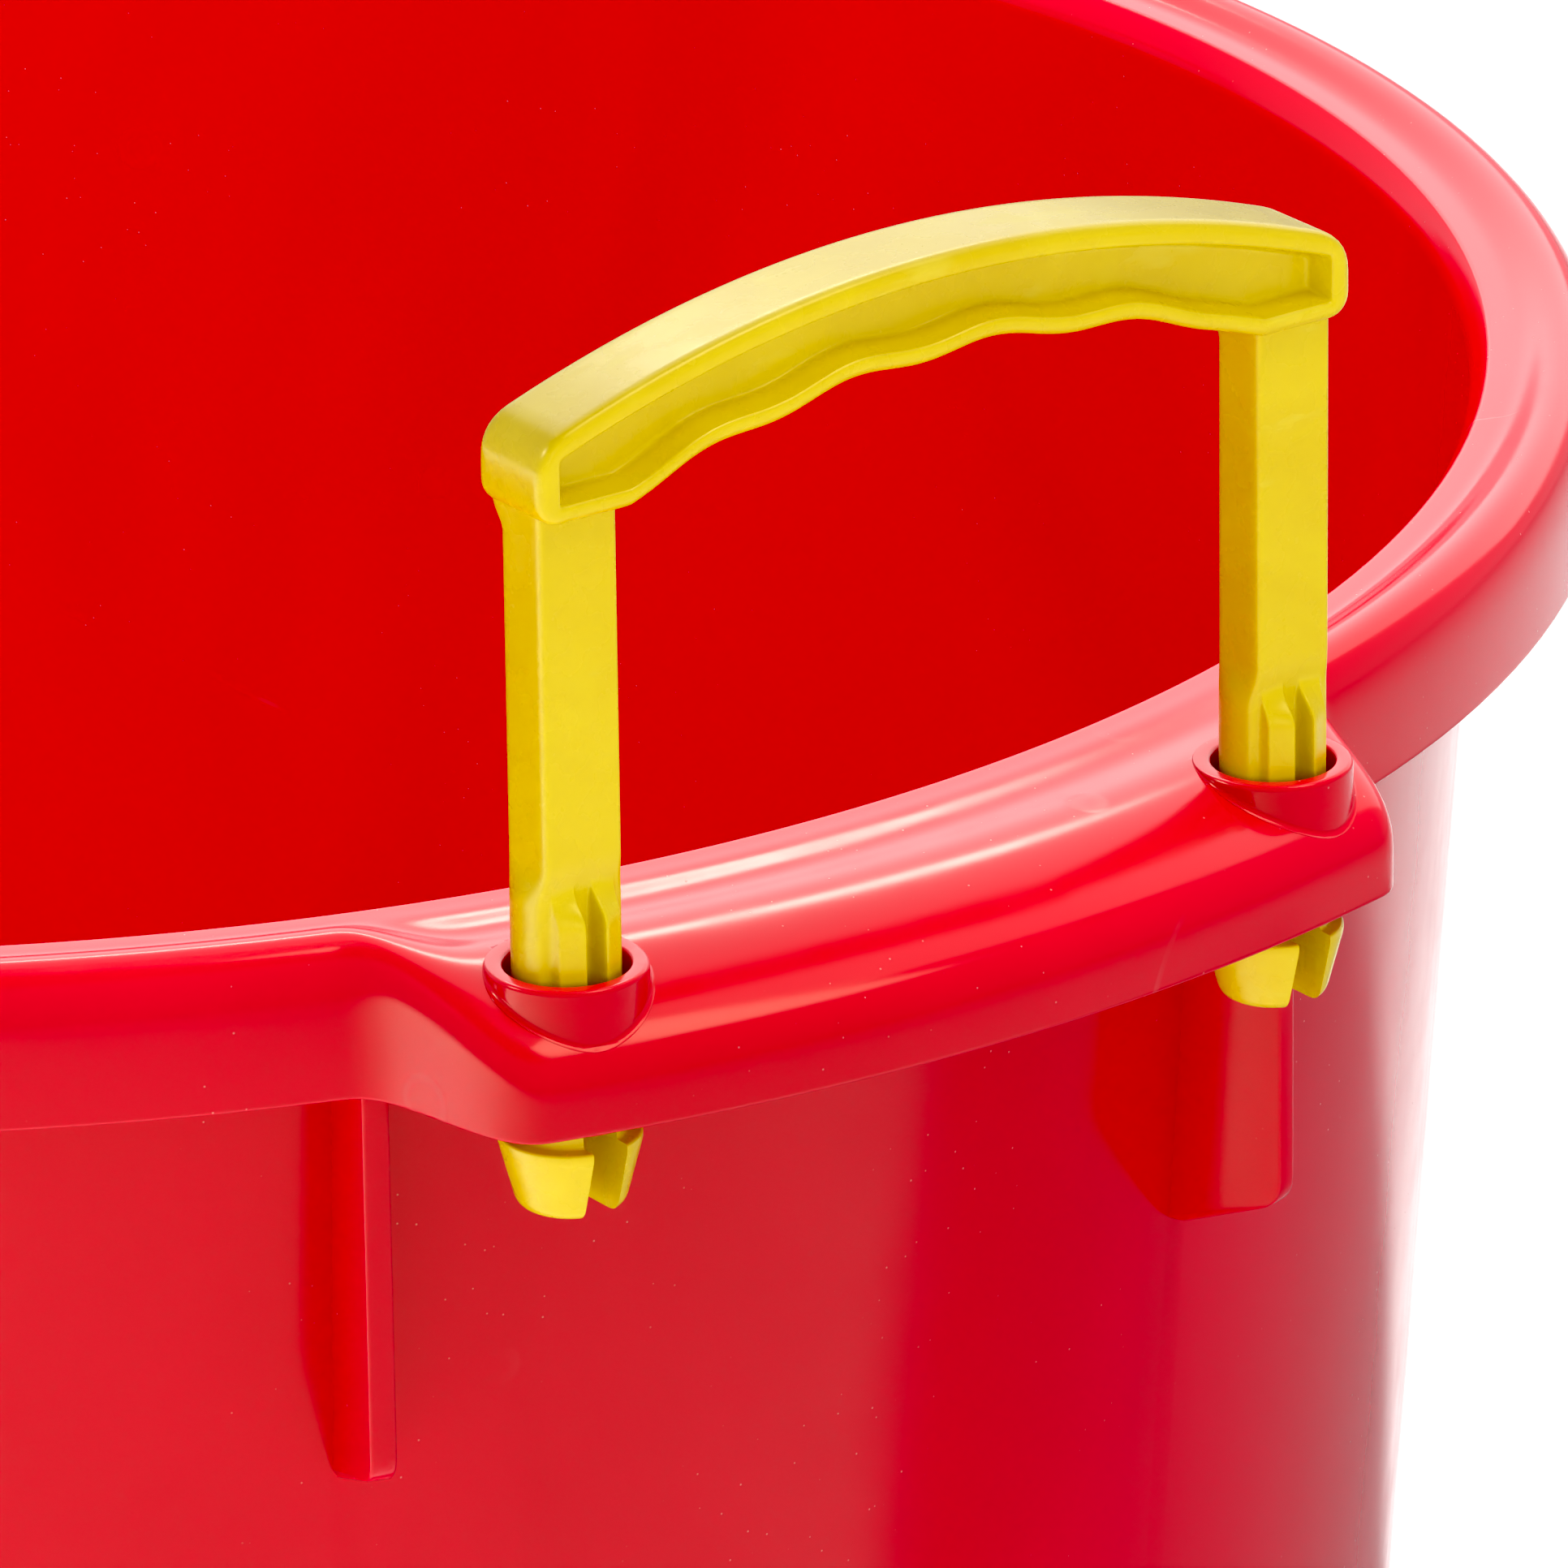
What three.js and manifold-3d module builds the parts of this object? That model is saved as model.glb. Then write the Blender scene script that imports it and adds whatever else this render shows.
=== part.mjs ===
// Round car wash bucket with two slide-down carrying handles.
// Millimetres, Z up, base on Z = 0, tub axis on Z, handles on +X and -X.
import * as THREE from 'three';
import { mergeVertices } from 'three/addons/utils/BufferGeometryUtils.js';
import Module from 'manifold-3d';

const wasm = await Module();
wasm.setup();

// Tub: overall sizes
const RIM_HEIGHT = 330;            // flat strip of the rim above the base
const RIM_INNER_RADIUS = 218.2;    // inner edge of the rim
const WALL_SETBACK = 0.5;          // outer face of the wall at strip height, out from that edge
const WALL_TAPER = 0.0719;         // radius gained per mm of height
const WALL_THICKNESS = 2.6;
const FLOOR_THICKNESS = 3.0;
const SKIRT_THICKNESS = 2.8;
const RIM_WIDTH = 15.9;            // rim inner edge to outer face of the skirt
const RIM_DEPTH = 18.4;            // rim strip down to the skirt's lower edge
const BASE_CORNER = 8;
const FOOT_WIDTH = 20;             // flat ring the tub stands on
const FOOT_STEP = 2.5;             // the floor inside the foot ring is raised by this

// Lug: the widened part of the rim that carries one handle
const LUG_WIDTH = 37.8;            // rim inner edge to outer face of the lug
const LUG_END_MARGIN = 10.65;      // full width runs this far past the leg axis
const LUG_BEND_LENGTH = 18.8;      // the S-bend back to the plain rim, along the outer face
const GUSSET_OFFSET = 14.3;        // from the end of the full width, along the outer face
const GUSSET_THICKNESS = 3.6;
const GUSSET_REACH = 12.3;         // its outer edge from the rim's inner edge
const GUSSET_FOOT = 78;            // rim strip down to the gusset's lowest point
const GUSSET_SLANT = 6;            // its outer corner is this much higher
const GUSSET_ROOT = 1.2;           // how deep its inner edge is joined into the wall

// Collars the handle legs slide in
const LEG_SPACING = 109.5;         // between the two leg axes
const COLLAR_EDGE = 12.4;          // leg axis to the lug's outer face
const COLLAR_WALL = 2.3;
const COLLAR_TOP = 0.0;            // top face below the rim strip
const BOSS_DEPTH = 19.4;           // lower end of the collar tube below the strip
const STEM_RADIUS = 6.9;
const STEM_CLEARANCE = 1.0;

// Handle
const GRIP_DEPTH = 13.6;           // along X
const GRIP_OVERHANG = 1.5;         // grip end past the leg
const GRIP_TOP = 81.9;             // top of the arch above the rim strip
const GRIP_UNDERSIDE = 59.8;       // underside at the legs above the rim strip
const GRIP_RISE = 8.4;             // the underside is this much higher at mid grip
const GRIP_DROP = 11.7;            // the arched top is this much lower at the grip's ends
const GRIP_CORNER = 3.2;
const GRIP_EDGE = 1.8;
const FINGERS = 4;
const FINGER_MARGIN = 5.4;         // between the outer finger hollows and the legs
const FINGER_DEPTH = 1.2;
const FINGER_SHIFT = -4;           // middle of the four finger hollows along the grip
const RECESS_BORDER = 3.8;
const RECESS_DEPTH = 4.2;
const LEG_WIDTH = 11.5;
const LEG_DEPTH = 8.5;
const LEG_CORNER = 2.2;
const STEM_TOP = 9;                // cylindrical part ends above the rim strip
const STEM_FLARE = 5;
const RIB_CENTRE = 3.0;
const RIB_WIDTH = 3.4;
const RIB_DEPTH = 3.7;             // the stem's flat front lies this far behind the ribs
const RIB_TOP = 6.4;
const RIB_SLOPE = 5.2;
const LIFT_STROKE = 2.5;           // free travel up before the barb catches
const CATCH_GAP = 0.3;
const BARB_LENGTH = 9.8;
const BARB_CATCH = 1.1;            // the barb is this much wider than the bore
const BARB_TAPER = 0.3;            // its tip is this much narrower than the stem
const BARB_LIP = 1.0;
const BARB_SLOT = 5.0;
const BARB_SLOT_TOP = 9;

// What follows from those sizes
const rad = THREE.MathUtils.degToRad;
const deg = THREE.MathUtils.radToDeg;
const legY = LEG_SPACING / 2;
const lugRadius = RIM_INNER_RADIUS + LUG_WIDTH;
const lugHalfAngle = deg(Math.asin((legY + LUG_END_MARGIN) / lugRadius));
const lugBendAngle = deg(LUG_BEND_LENGTH / lugRadius);
const gussetAngle = lugHalfAngle + deg(GUSSET_OFFSET / lugRadius);
const legX = Math.sqrt((lugRadius - COLLAR_EDGE) ** 2 - legY ** 2);
const boreRadius = STEM_RADIUS + STEM_CLEARANCE;
const collarRadius = boreRadius + COLLAR_WALL;
const stemFlat = STEM_RADIUS - RIB_DEPTH;
const barbRadius = boreRadius + BARB_CATCH;
const barbTipRadius = STEM_RADIUS - BARB_TAPER;
const shoulderZ = -(BOSS_DEPTH + CATCH_GAP + LIFT_STROKE);
const gripEnd = legY + LEG_WIDTH / 2 + GRIP_OVERHANG;
const handGap = LEG_SPACING - LEG_WIDTH;
const fingerPitch = (handGap - 2 * FINGER_MARGIN) / FINGERS;
const FAR = 5;                     // cutting solids run this far past what they cut

function toManifold(geometry) {
  const plain = geometry.clone();
  plain.deleteAttribute('normal');
  plain.deleteAttribute('uv');
  const merged = mergeVertices(plain, 1e-4);
  return new wasm.Manifold(new wasm.Mesh({
    numProp: 3,
    vertProperties: new Float32Array(merged.attributes.position.array),
    triVerts: new Uint32Array(merged.index.array),
  }));
}

function toGeometry(solid) {
  const mesh = solid.getMesh();
  const geometry = new THREE.BufferGeometry();
  geometry.setAttribute('position', new THREE.BufferAttribute(mesh.vertProperties, 3));
  geometry.setIndex(new THREE.BufferAttribute(mesh.triVerts, 1));
  geometry.computeVertexNormals();
  return geometry;
}

function cylinder(topRadius, bottomRadius, bottom, top, x, y, segments = 40) {
  const geometry = new THREE.CylinderGeometry(topRadius, bottomRadius, top - bottom, segments);
  geometry.rotateX(Math.PI / 2);
  geometry.translate(x, y, (bottom + top) / 2);
  return toManifold(geometry);
}

function box(x0, x1, y0, y1, z0, z1) {
  const geometry = new THREE.BoxGeometry(x1 - x0, y1 - y0, z1 - z0);
  geometry.translate((x0 + x1) / 2, (y0 + y1) / 2, (z0 + z1) / 2);
  return toManifold(geometry);
}

// Closed outline in the YZ plane, given length along X, starting at x0.
function prismAlongX(points, x0, x1, edge = 0) {
  const shape = new THREE.Shape(points.map(([y, z]) => new THREE.Vector2(y, z)));
  const geometry = new THREE.ExtrudeGeometry(shape, {
    depth: x1 - x0 - 2 * edge,
    bevelEnabled: edge > 0,
    bevelThickness: edge,
    bevelSize: edge,
    bevelOffset: -edge,
    bevelSegments: 2,
    steps: 1,
  });
  geometry.translate(0, 0, x0 + edge);
  const turn = new THREE.Matrix4().makeBasis(
    new THREE.Vector3(0, 1, 0), new THREE.Vector3(0, 0, 1), new THREE.Vector3(1, 0, 0));
  geometry.applyMatrix4(turn);
  return toManifold(geometry);
}

function roundedRectangle(halfWidth, halfDepth, corner, steps = 3) {
  const points = [];
  const centres = [[1, 1, 0], [-1, 1, 90], [-1, -1, 180], [1, -1, 270]];
  for (const [sx, sy, start] of centres) {
    for (let i = 0; i <= steps; i++) {
      const angle = rad(start + (90 * i) / steps);
      points.push([
        sx * (halfWidth - corner) + corner * Math.cos(angle),
        sy * (halfDepth - corner) + corner * Math.sin(angle),
      ]);
    }
  }
  return points;
}

// ---------------------------------------------------------------- tub

const wallRadius = (z) => RIM_INNER_RADIUS + WALL_SETBACK - WALL_TAPER * (RIM_HEIGHT - z);

// Share of the full lug width at an angle from the nearer handle.
function lugShare(angle) {
  const folded = Math.abs(((angle + 90) % 180 + 180) % 180 - 90);
  const t = (lugHalfAngle + lugBendAngle - folded) / lugBendAngle;
  const s = THREE.MathUtils.clamp(t, 0, 1);
  return s * s * (3 - 2 * s);
}

function ringAngles() {
  const quarter = [];
  const stretches = [[lugHalfAngle, 6], [lugBendAngle, 7], [90 - lugHalfAngle - lugBendAngle, 16]];
  let start = 0;
  for (const [length, steps] of stretches) {
    for (let i = 0; i < steps; i++) {
      quarter.push(start + (length * i) / steps);
    }
    start += length;
  }
  const half = quarter.concat([90], quarter.slice(1).reverse().map((a) => 180 - a));
  return half.concat(half.map((a) => a + 180));
}

// Radius from the rim's inner edge and height from the strip, plain rim and lug,
// from the lower edge of the skirt's outer face to the inner edge.
const PLAIN_TOP = [
  [RIM_WIDTH, -RIM_DEPTH],
  [RIM_WIDTH - 0.3, -4.2],
  [RIM_WIDTH - 0.8, -1.8],
  [RIM_WIDTH - 1.8, 0.2],
  [RIM_WIDTH - 3.4, 1.6],
  [0.660 * RIM_WIDTH, 2.1],
  [0.522 * RIM_WIDTH, 1.8],
  [0.396 * RIM_WIDTH, 0.9],
  [0.270 * RIM_WIDTH, 0.0],
  [1.0, 0.0],
];
const LUG_TOP = [
  [LUG_WIDTH, -RIM_DEPTH],
  [LUG_WIDTH - 0.4, -9.8],
  [LUG_WIDTH - 1.5, -7.4],
  [LUG_WIDTH - 3.9, -5.2],
  [0.788 * LUG_WIDTH, -3.0],
  [0.643 * LUG_WIDTH, -1.1],
  [0.463 * LUG_WIDTH, -0.2],
  [0.291 * LUG_WIDTH, -1.0],
  [0.143 * LUG_WIDTH, 0.0],
  [1.0, 0.0],
];
const PLAIN_UNDERSIDE = [
  [0.38 * RIM_WIDTH, -2.2],
  [RIM_WIDTH - SKIRT_THICKNESS - 2.0, -1.6],
  [RIM_WIDTH - SKIRT_THICKNESS - 0.6, -4.0],
  [RIM_WIDTH - SKIRT_THICKNESS, -RIM_DEPTH],
];
const LUG_UNDERSIDE = [
  [0.32 * LUG_WIDTH, -3.8],
  [0.70 * LUG_WIDTH, -5.0],
  [LUG_WIDTH - SKIRT_THICKNESS - 0.6, -10.4],
  [LUG_WIDTH - SKIRT_THICKNESS, -RIM_DEPTH],
];

// Tub outline at one angle, from the middle of the underside round to the floor.
function tubOutline(share) {
  const mix = (plain, lug) => plain.map(([r, z], i) => [
    RIM_INNER_RADIUS + r + share * (lug[i][0] - r),
    RIM_HEIGHT + z + share * (lug[i][1] - z),
  ]);
  const foot = wallRadius(0);
  const inside = foot - WALL_THICKNESS;
  return [
    [foot - BASE_CORNER - FOOT_WIDTH - FOOT_STEP, FOOT_STEP],
    [foot - BASE_CORNER - FOOT_WIDTH, 0],
    [foot - BASE_CORNER, 0],
    [foot - 0.32 * BASE_CORNER, 0.3 * BASE_CORNER],
    [wallRadius(BASE_CORNER), BASE_CORNER],
    [wallRadius(RIM_HEIGHT - GUSSET_FOOT - 20), RIM_HEIGHT - GUSSET_FOOT - 20],
    [wallRadius(RIM_HEIGHT - 3.0), RIM_HEIGHT - 3.0],
    ...mix(PLAIN_UNDERSIDE, LUG_UNDERSIDE),
    ...mix(PLAIN_TOP, LUG_TOP),
    [RIM_INNER_RADIUS + 0.1, RIM_HEIGHT - 0.3],
    [RIM_INNER_RADIUS - 0.9, RIM_HEIGHT - 1.2],
    [wallRadius(RIM_HEIGHT - 3.2) - WALL_THICKNESS, RIM_HEIGHT - 3.2],
    [wallRadius(BASE_CORNER + 3) - WALL_THICKNESS, BASE_CORNER + 3],
    [inside - 0.25 * BASE_CORNER, FLOOR_THICKNESS + 0.3 * BASE_CORNER],
    [inside - BASE_CORNER, FLOOR_THICKNESS],
    [foot - BASE_CORNER - FOOT_WIDTH, FLOOR_THICKNESS],
    [foot - BASE_CORNER - FOOT_WIDTH - FOOT_STEP, FLOOR_THICKNESS + FOOT_STEP],
  ];
}

function tubShell() {
  const angles = ringAngles();
  const rings = angles.map((angle) => tubOutline(lugShare(angle)));
  const count = rings[0].length;
  const positions = [0, 0, rings[0][0][1], 0, 0, rings[0][count - 1][1]];
  angles.forEach((angle, i) => {
    for (const [r, z] of rings[i]) {
      positions.push(r * Math.cos(rad(angle)), r * Math.sin(rad(angle)), z);
    }
  });
  const index = [];
  for (let i = 0; i < angles.length; i++) {
    const here = 2 + i * count;
    const next = 2 + ((i + 1) % angles.length) * count;
    index.push(0, next, here);
    for (let k = 0; k < count - 1; k++) {
      index.push(here + k, next + k, next + k + 1);
      index.push(here + k, next + k + 1, here + k + 1);
    }
    index.push(1, here + count - 1, next + count - 1);
  }
  const geometry = new THREE.BufferGeometry();
  geometry.setAttribute('position', new THREE.Float32BufferAttribute(positions, 3));
  geometry.setIndex(index);
  return toManifold(geometry);
}

// One radial stiffening plate, joined to the wall, the rim and the skirt, in the XZ plane.
function gusset(angle) {
  const rootTop = RIM_HEIGHT - 2.0;
  const foot = RIM_HEIGHT - GUSSET_FOOT;
  const skirtEdge = RIM_HEIGHT - RIM_DEPTH;
  const outer = RIM_INNER_RADIUS + GUSSET_REACH;
  const width = RIM_WIDTH + lugShare(angle) * (LUG_WIDTH - RIM_WIDTH);
  const skirt = RIM_INNER_RADIUS + width - SKIRT_THICKNESS;
  const points = [
    [wallRadius(rootTop) - GUSSET_ROOT, rootTop],
    [wallRadius(foot) - GUSSET_ROOT, foot],
    [wallRadius(foot) + 2, foot],
    [outer - 3.5, foot + GUSSET_SLANT - 2.5],
    [outer - 1.0, foot + GUSSET_SLANT - 0.2],
    [outer, foot + GUSSET_SLANT + 3],
    [outer, skirtEdge],
    [skirt, skirtEdge + 3],
    [skirt, RIM_HEIGHT - 4.5],
    [outer - 1, RIM_HEIGHT - 1.4],
    [RIM_INNER_RADIUS + 3, RIM_HEIGHT - 1.4],
  ];
  const plate = prismAlongX(points, -GUSSET_THICKNESS / 2, GUSSET_THICKNESS / 2);
  return plate.rotate([0, 0, angle - 90]);
}

function buildTub() {
  let solid = tubShell();
  for (const facing of [0, 180]) {
    for (const side of [-1, 1]) {
      solid = solid.add(gusset(facing + side * gussetAngle));
      const x = facing === 0 ? legX : -legX;
      const y = side * legY;
      const top = RIM_HEIGHT - COLLAR_TOP;
      const bottom = RIM_HEIGHT - BOSS_DEPTH;
      solid = solid.add(cylinder(collarRadius, collarRadius, bottom, top, x, y));
      solid = solid.subtract(cylinder(boreRadius, boreRadius, bottom - FAR, top + FAR, x, y));
    }
  }
  return solid;
}

// ---------------------------------------------------------------- handle

// The underside is arched between the legs, with one hollow for each finger.
function gripUnderside(y) {
  const arch = GRIP_RISE * Math.max(1 - (y / (handGap / 2 - 0.5)) ** 2, 0);
  const along = y - FINGER_SHIFT;
  const wave = (FINGER_DEPTH / 2) * (1 - Math.cos((2 * Math.PI * along) / fingerPitch));
  return GRIP_UNDERSIDE + arch + (Math.abs(along) < (FINGERS / 2) * fingerPitch ? wave : 0);
}

// Grip outline in the YZ plane, moved inwards by the border.
function gripOutline(border) {
  const end = gripEnd - border;
  const corner = Math.max(GRIP_CORNER - border, 0.8);
  const flat = end - corner;
  const points = [];
  const steps = 36;
  for (let i = 0; i < steps; i++) {
    const y = -flat + (2 * flat * i) / steps;
    points.push([y, gripUnderside(y) + border]);
  }
  const topAt = (y) => GRIP_TOP - border - GRIP_DROP * (y / gripEnd) ** 2;
  const low = GRIP_UNDERSIDE + border;
  for (const angle of [-90, -45, 0]) {
    points.push([
      flat + corner * Math.cos(rad(angle)),
      low + corner + corner * Math.sin(rad(angle)),
    ]);
  }
  const shoulder = 1.3 * corner;
  points.push([end, topAt(end) - shoulder]);
  points.push([end - 0.3 * shoulder, topAt(end) - 0.35 * shoulder]);
  const arch = end - shoulder;
  for (let i = 0; i <= 12; i++) {
    const y = arch - (2 * arch * i) / 12;
    points.push([y, topAt(y)]);
  }
  points.push([-end + 0.3 * shoulder, topAt(end) - 0.35 * shoulder]);
  points.push([-end, topAt(end) - shoulder]);
  for (const angle of [180, 225]) {
    points.push([
      -flat + corner * Math.cos(rad(angle)),
      low + corner + corner * Math.sin(rad(angle)),
    ]);
  }
  return points;
}

function buildGrip() {
  const half = GRIP_DEPTH / 2;
  let solid = prismAlongX(gripOutline(0), -half, half, GRIP_EDGE);
  const inner = gripOutline(RECESS_BORDER);
  solid = solid.subtract(prismAlongX(inner, half - RECESS_DEPTH, half + FAR));
  return solid.subtract(prismAlongX(inner, -half - FAR, -half + RECESS_DEPTH));
}

// One leg around its own axis: shank, stem, two ribs and the split snap barb.
function buildLeg() {
  const outline = roundedRectangle(LEG_WIDTH / 2, LEG_DEPTH / 2, LEG_CORNER);
  const shape = new THREE.Shape(outline.map(([y, x]) => new THREE.Vector2(x, y)));
  const shank = new THREE.ExtrudeGeometry(shape, {
    depth: GRIP_UNDERSIDE + 3 - STEM_TOP + 2,
    bevelEnabled: false,
  });
  shank.translate(0, 0, STEM_TOP - 2);
  const stemEnd = STEM_TOP + STEM_FLARE;
  let stem = cylinder(STEM_RADIUS, STEM_RADIUS, shoulderZ - 0.5, STEM_TOP, 0, 0, 32);
  stem = stem.add(cylinder(LEG_WIDTH / 2 - 0.4, STEM_RADIUS, STEM_TOP, stemEnd, 0, 0, 32));
  const reach = 2 * STEM_RADIUS;
  const lowest = shoulderZ - BARB_LENGTH;
  stem = stem.subtract(box(stemFlat, reach, -reach, reach, -BOSS_DEPTH, stemEnd + 1));
  let leg = toManifold(shank).add(stem);
  for (const side of [-1, 1]) {
    const rib = prismRib().translate([0, side * RIB_CENTRE, 0]);
    leg = leg.add(rib.intersect(cylinder(STEM_RADIUS, STEM_RADIUS, -30, 30, 0, 0, 32)));
  }
  const lipZ = shoulderZ - BARB_LIP;
  leg = leg.add(cylinder(barbRadius, barbRadius, lipZ, shoulderZ, 0, 0, 32));
  leg = leg.add(cylinder(barbRadius, barbTipRadius, lowest, lipZ, 0, 0, 32));
  const slot = BARB_SLOT / 2;
  return leg.subtract(box(-reach, reach, -slot, slot, lowest - 1, -BARB_SLOT_TOP));
}

// A rib seen from the side: upright front with a sloped top, as wide as RIB_WIDTH.
function prismRib() {
  const front = STEM_RADIUS;
  const points = [
    [0, -BOSS_DEPTH - 1],
    [front, -BOSS_DEPTH - 1],
    [front, RIB_TOP],
    [stemFlat, RIB_TOP + RIB_SLOPE],
    [0, RIB_TOP + RIB_SLOPE],
  ];
  const plate = prismAlongX(points, -RIB_WIDTH / 2, RIB_WIDTH / 2);
  return plate.rotate([0, 0, -90]);
}

function buildHandle() {
  let solid = buildGrip();
  for (const side of [-1, 1]) {
    solid = solid.add(buildLeg().translate([0, side * legY, 0]));
  }
  return solid.translate([legX, 0, RIM_HEIGHT]);
}

// ---------------------------------------------------------------- assembly

function addMesh(group, name, solid, color, roughness) {
  const material = new THREE.MeshStandardMaterial({ color, roughness, metalness: 0 });
  const mesh = new THREE.Mesh(toGeometry(solid), material);
  mesh.name = name;
  group.add(mesh);
}

const group = new THREE.Group();
group.name = 'wash_bucket';
const handle = buildHandle();
addMesh(group, 'tub', buildTub(), 0xe0101a, 0.25);
addMesh(group, 'front_handle', handle, 0xe6d21e, 0.4);
addMesh(group, 'rear_handle', handle.rotate([0, 0, 180]), 0xe6d21e, 0.4);

export default group;
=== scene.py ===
"""Wash bucket in a white studio: a round red tub with a yellow slide-down handle on each side.

The sizes are in millimetres, in the tub's own frame: the base stands on Z = 0, the tub's axis is Z and
the handles are on +X and -X. Rim and handle heights are measured from the strip, the flat top of the
rim along its inner edge.
"""
import math

import bpy
import numpy as np
from mathutils import Matrix, Vector


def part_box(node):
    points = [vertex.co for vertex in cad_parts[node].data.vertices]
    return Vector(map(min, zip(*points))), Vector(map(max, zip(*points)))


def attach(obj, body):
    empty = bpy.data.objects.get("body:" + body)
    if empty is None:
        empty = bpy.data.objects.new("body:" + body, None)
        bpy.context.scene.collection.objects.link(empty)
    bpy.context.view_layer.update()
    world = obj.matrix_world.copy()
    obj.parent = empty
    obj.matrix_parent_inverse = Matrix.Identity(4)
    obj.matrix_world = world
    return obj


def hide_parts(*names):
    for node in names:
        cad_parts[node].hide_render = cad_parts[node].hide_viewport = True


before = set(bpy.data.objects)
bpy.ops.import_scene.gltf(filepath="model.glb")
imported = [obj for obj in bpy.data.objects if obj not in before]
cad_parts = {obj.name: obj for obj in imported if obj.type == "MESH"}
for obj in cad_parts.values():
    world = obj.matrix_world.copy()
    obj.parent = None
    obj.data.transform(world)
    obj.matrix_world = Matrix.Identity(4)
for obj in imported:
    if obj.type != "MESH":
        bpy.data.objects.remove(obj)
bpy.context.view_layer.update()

MM = 0.001
tub_low, tub_high = (np.array(corner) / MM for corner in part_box("tub"))
grip_low, grip_high = (np.array(corner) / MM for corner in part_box("front_handle"))

# ------------------------------------------------------------------ sizes of the tub

BEAD_HEIGHT = 2.1                          # rim bead above the strip
BEAD_SHORT = 0.02                          # taken off the bead, which keeps the tub inside its box
SIDE_SHORT = 0.01                          # taken off the rim's and the lug's width, for the same reason
LUG_WIDTH = 37.8                           # rim inner edge to the lug's outer face
RIM_WIDTH = 15.9                           # rim inner edge to the plain rim's outer face
RIM_DEPTH = 18.4                           # strip down to the skirt's lower edge
STRIP = tub_high[2] - BEAD_HEIGHT          # height of the strip
RIM_RADIUS = tub_high[0] - LUG_WIDTH       # inner edge of the rim
WALL_SETBACK = 0.5                         # outer wall face behind the rim's inner edge, at the strip
WALL_TAPER = 0.0719                        # radius lost for each millimetre down
WALL = 2.6                                 # thickness of the wall
SKIRT = 2.8                                # thickness of the skirt
FLOOR = 3.0                                # thickness of the floor
FOOT_STEP = 2.5                            # height of the foot ring under the floor
FOOT_WIDTH = 20.0                          # width of the foot ring
BASE_CORNER = 8.0                          # rounding of the base's outer edge
HUB = 12.0                                 # radius of the flat disc in the middle of the floor
STEP_CUT = 1.2                             # rounding of the foot ring's steps
WALL_CUT = 1.4                             # rounding where the wall meets the rim
WALL_TOP = 3.0                             # strip down to the outer wall's top
INNER_WALL_TOP = 4.0                       # strip down to the inner wall's top
SKIRT_EDGE_CUT = (0.5, 0.8)                # rounding of the skirt's lower edge, inside and outside

LUG_END_MARGIN = 10.65                     # lug beyond the leg's axis
LUG_BEND_LENGTH = 18.8                     # length of the S-bend along the lug's outer face
BEND_EASE = 0.35                           # degrees by which the S-bend starts early and ends late
GUSSET_OFFSET = 14.3                       # gusset beyond the lug's end
GUSSET_THICKNESS = 3.6
GUSSET_REACH = 12.3                        # rim inner edge to the gusset's outer edge
GUSSET_FOOT = 78.0                         # strip down to the gusset's lower end
GUSSET_SLANT = 6.0                         # rise of that end from the wall outwards
GUSSET_EDGE = 0.55                         # rounding of a gusset's long edges
GUSSET_ROOT = 1.2                          # depth by which a gusset is let into the wall

BORE_RADIUS = 7.9
COLLAR_RADIUS = 10.2                       # outer wall of a collar and of the boss under it
BOSS_DEPTH = 19.4                          # collar top down to the boss's lower end
BORE_EDGE = 0.5                            # rounding of the bore's two ends
COLLAR_FOOT = 0.6                          # distance outside the collar where the lug's height is taken
COLLAR_FILLET = (0.45, 0.15, 1.0)          # share of the collar's height, least and most
COLLAR_LIP = (0.40, 0.12, 0.65)            # the same for the rounding of its top edge
COLLAR_SINK = (0.8, 2.0)                   # depths of the fillet's end and of the boss under the lug
BORE_SPARE = 4.0                           # length of the bore cutter past the boss
BORE_STRAIGHT = 0.6                        # collar top down to the bore's straight side
FILLET_TURN = 1.15                         # radians of the fillet's arc above the lug
FILLET_SPREAD = 0.6                        # share of the fillet left where it is sunk in the lug
BOSS_EDGE = 0.4                            # bevel of the boss's lower edge

# ------------------------------------------------------------------ sizes of a handle, from the strip

STEM_RADIUS = 6.9                          # round part of a leg, under the shank
STEM_FLAT = 3.2                            # leg axis to the stem's flat front
STEM_SWELL = 1.012                         # the spline's pull inwards, made good
STEM_RUN = (15.5, 7.5)                     # top and length of the change from shank to stem
RIB_RUN = (12.2, 6.2)                      # top and length of the ribs' sloping tops
RIB_INNER = 3.35                           # rib height on the slot's side
RIB_OUTER = 1.95                           # rib height on the outer side
BARB_RADIUS = 9.0                          # at the shoulder, where it is widest
BARB_TIP = 6.7                             # radius at the lower end
BARB_SHOULDER = -22.2                      # height of the shoulder
BARB_LIP = 1.0                             # upright band under the shoulder
BARB_BOTTOM = -32.0                        # height of the lower end
BARB_FLAT = 2.0                            # radius of the flat disc under a barb
SLOT_HALF = 2.5                            # half the width between the prongs
SLOT_TOP = -9.0                            # height of the upper end
SLOT_REACH = 12.0                          # half the cutter's length, through the stem
SLOT_SPARE = 3.0                           # length of the cutter past the barb
LEG_X = (grip_low[0] + grip_high[0]) / 2
LEG_Y = grip_high[1] - BARB_RADIUS
LEG_WIDTH = 11.5                           # along Y
LEG_DEPTH = 8.5                            # along X
LEG_SINK = 1.5                             # leg top inside the grip
BACK_FILLET = (2.3, 3.6, 4.4)              # depth, start under the grip and length of the fillet behind
GRIP_TOP = grip_high[2] - STRIP
GRIP_UNDER = 59.8                          # height of the underside at the legs
GRIP_RISE = 8.4                            # rise of the arch on the underside
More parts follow.
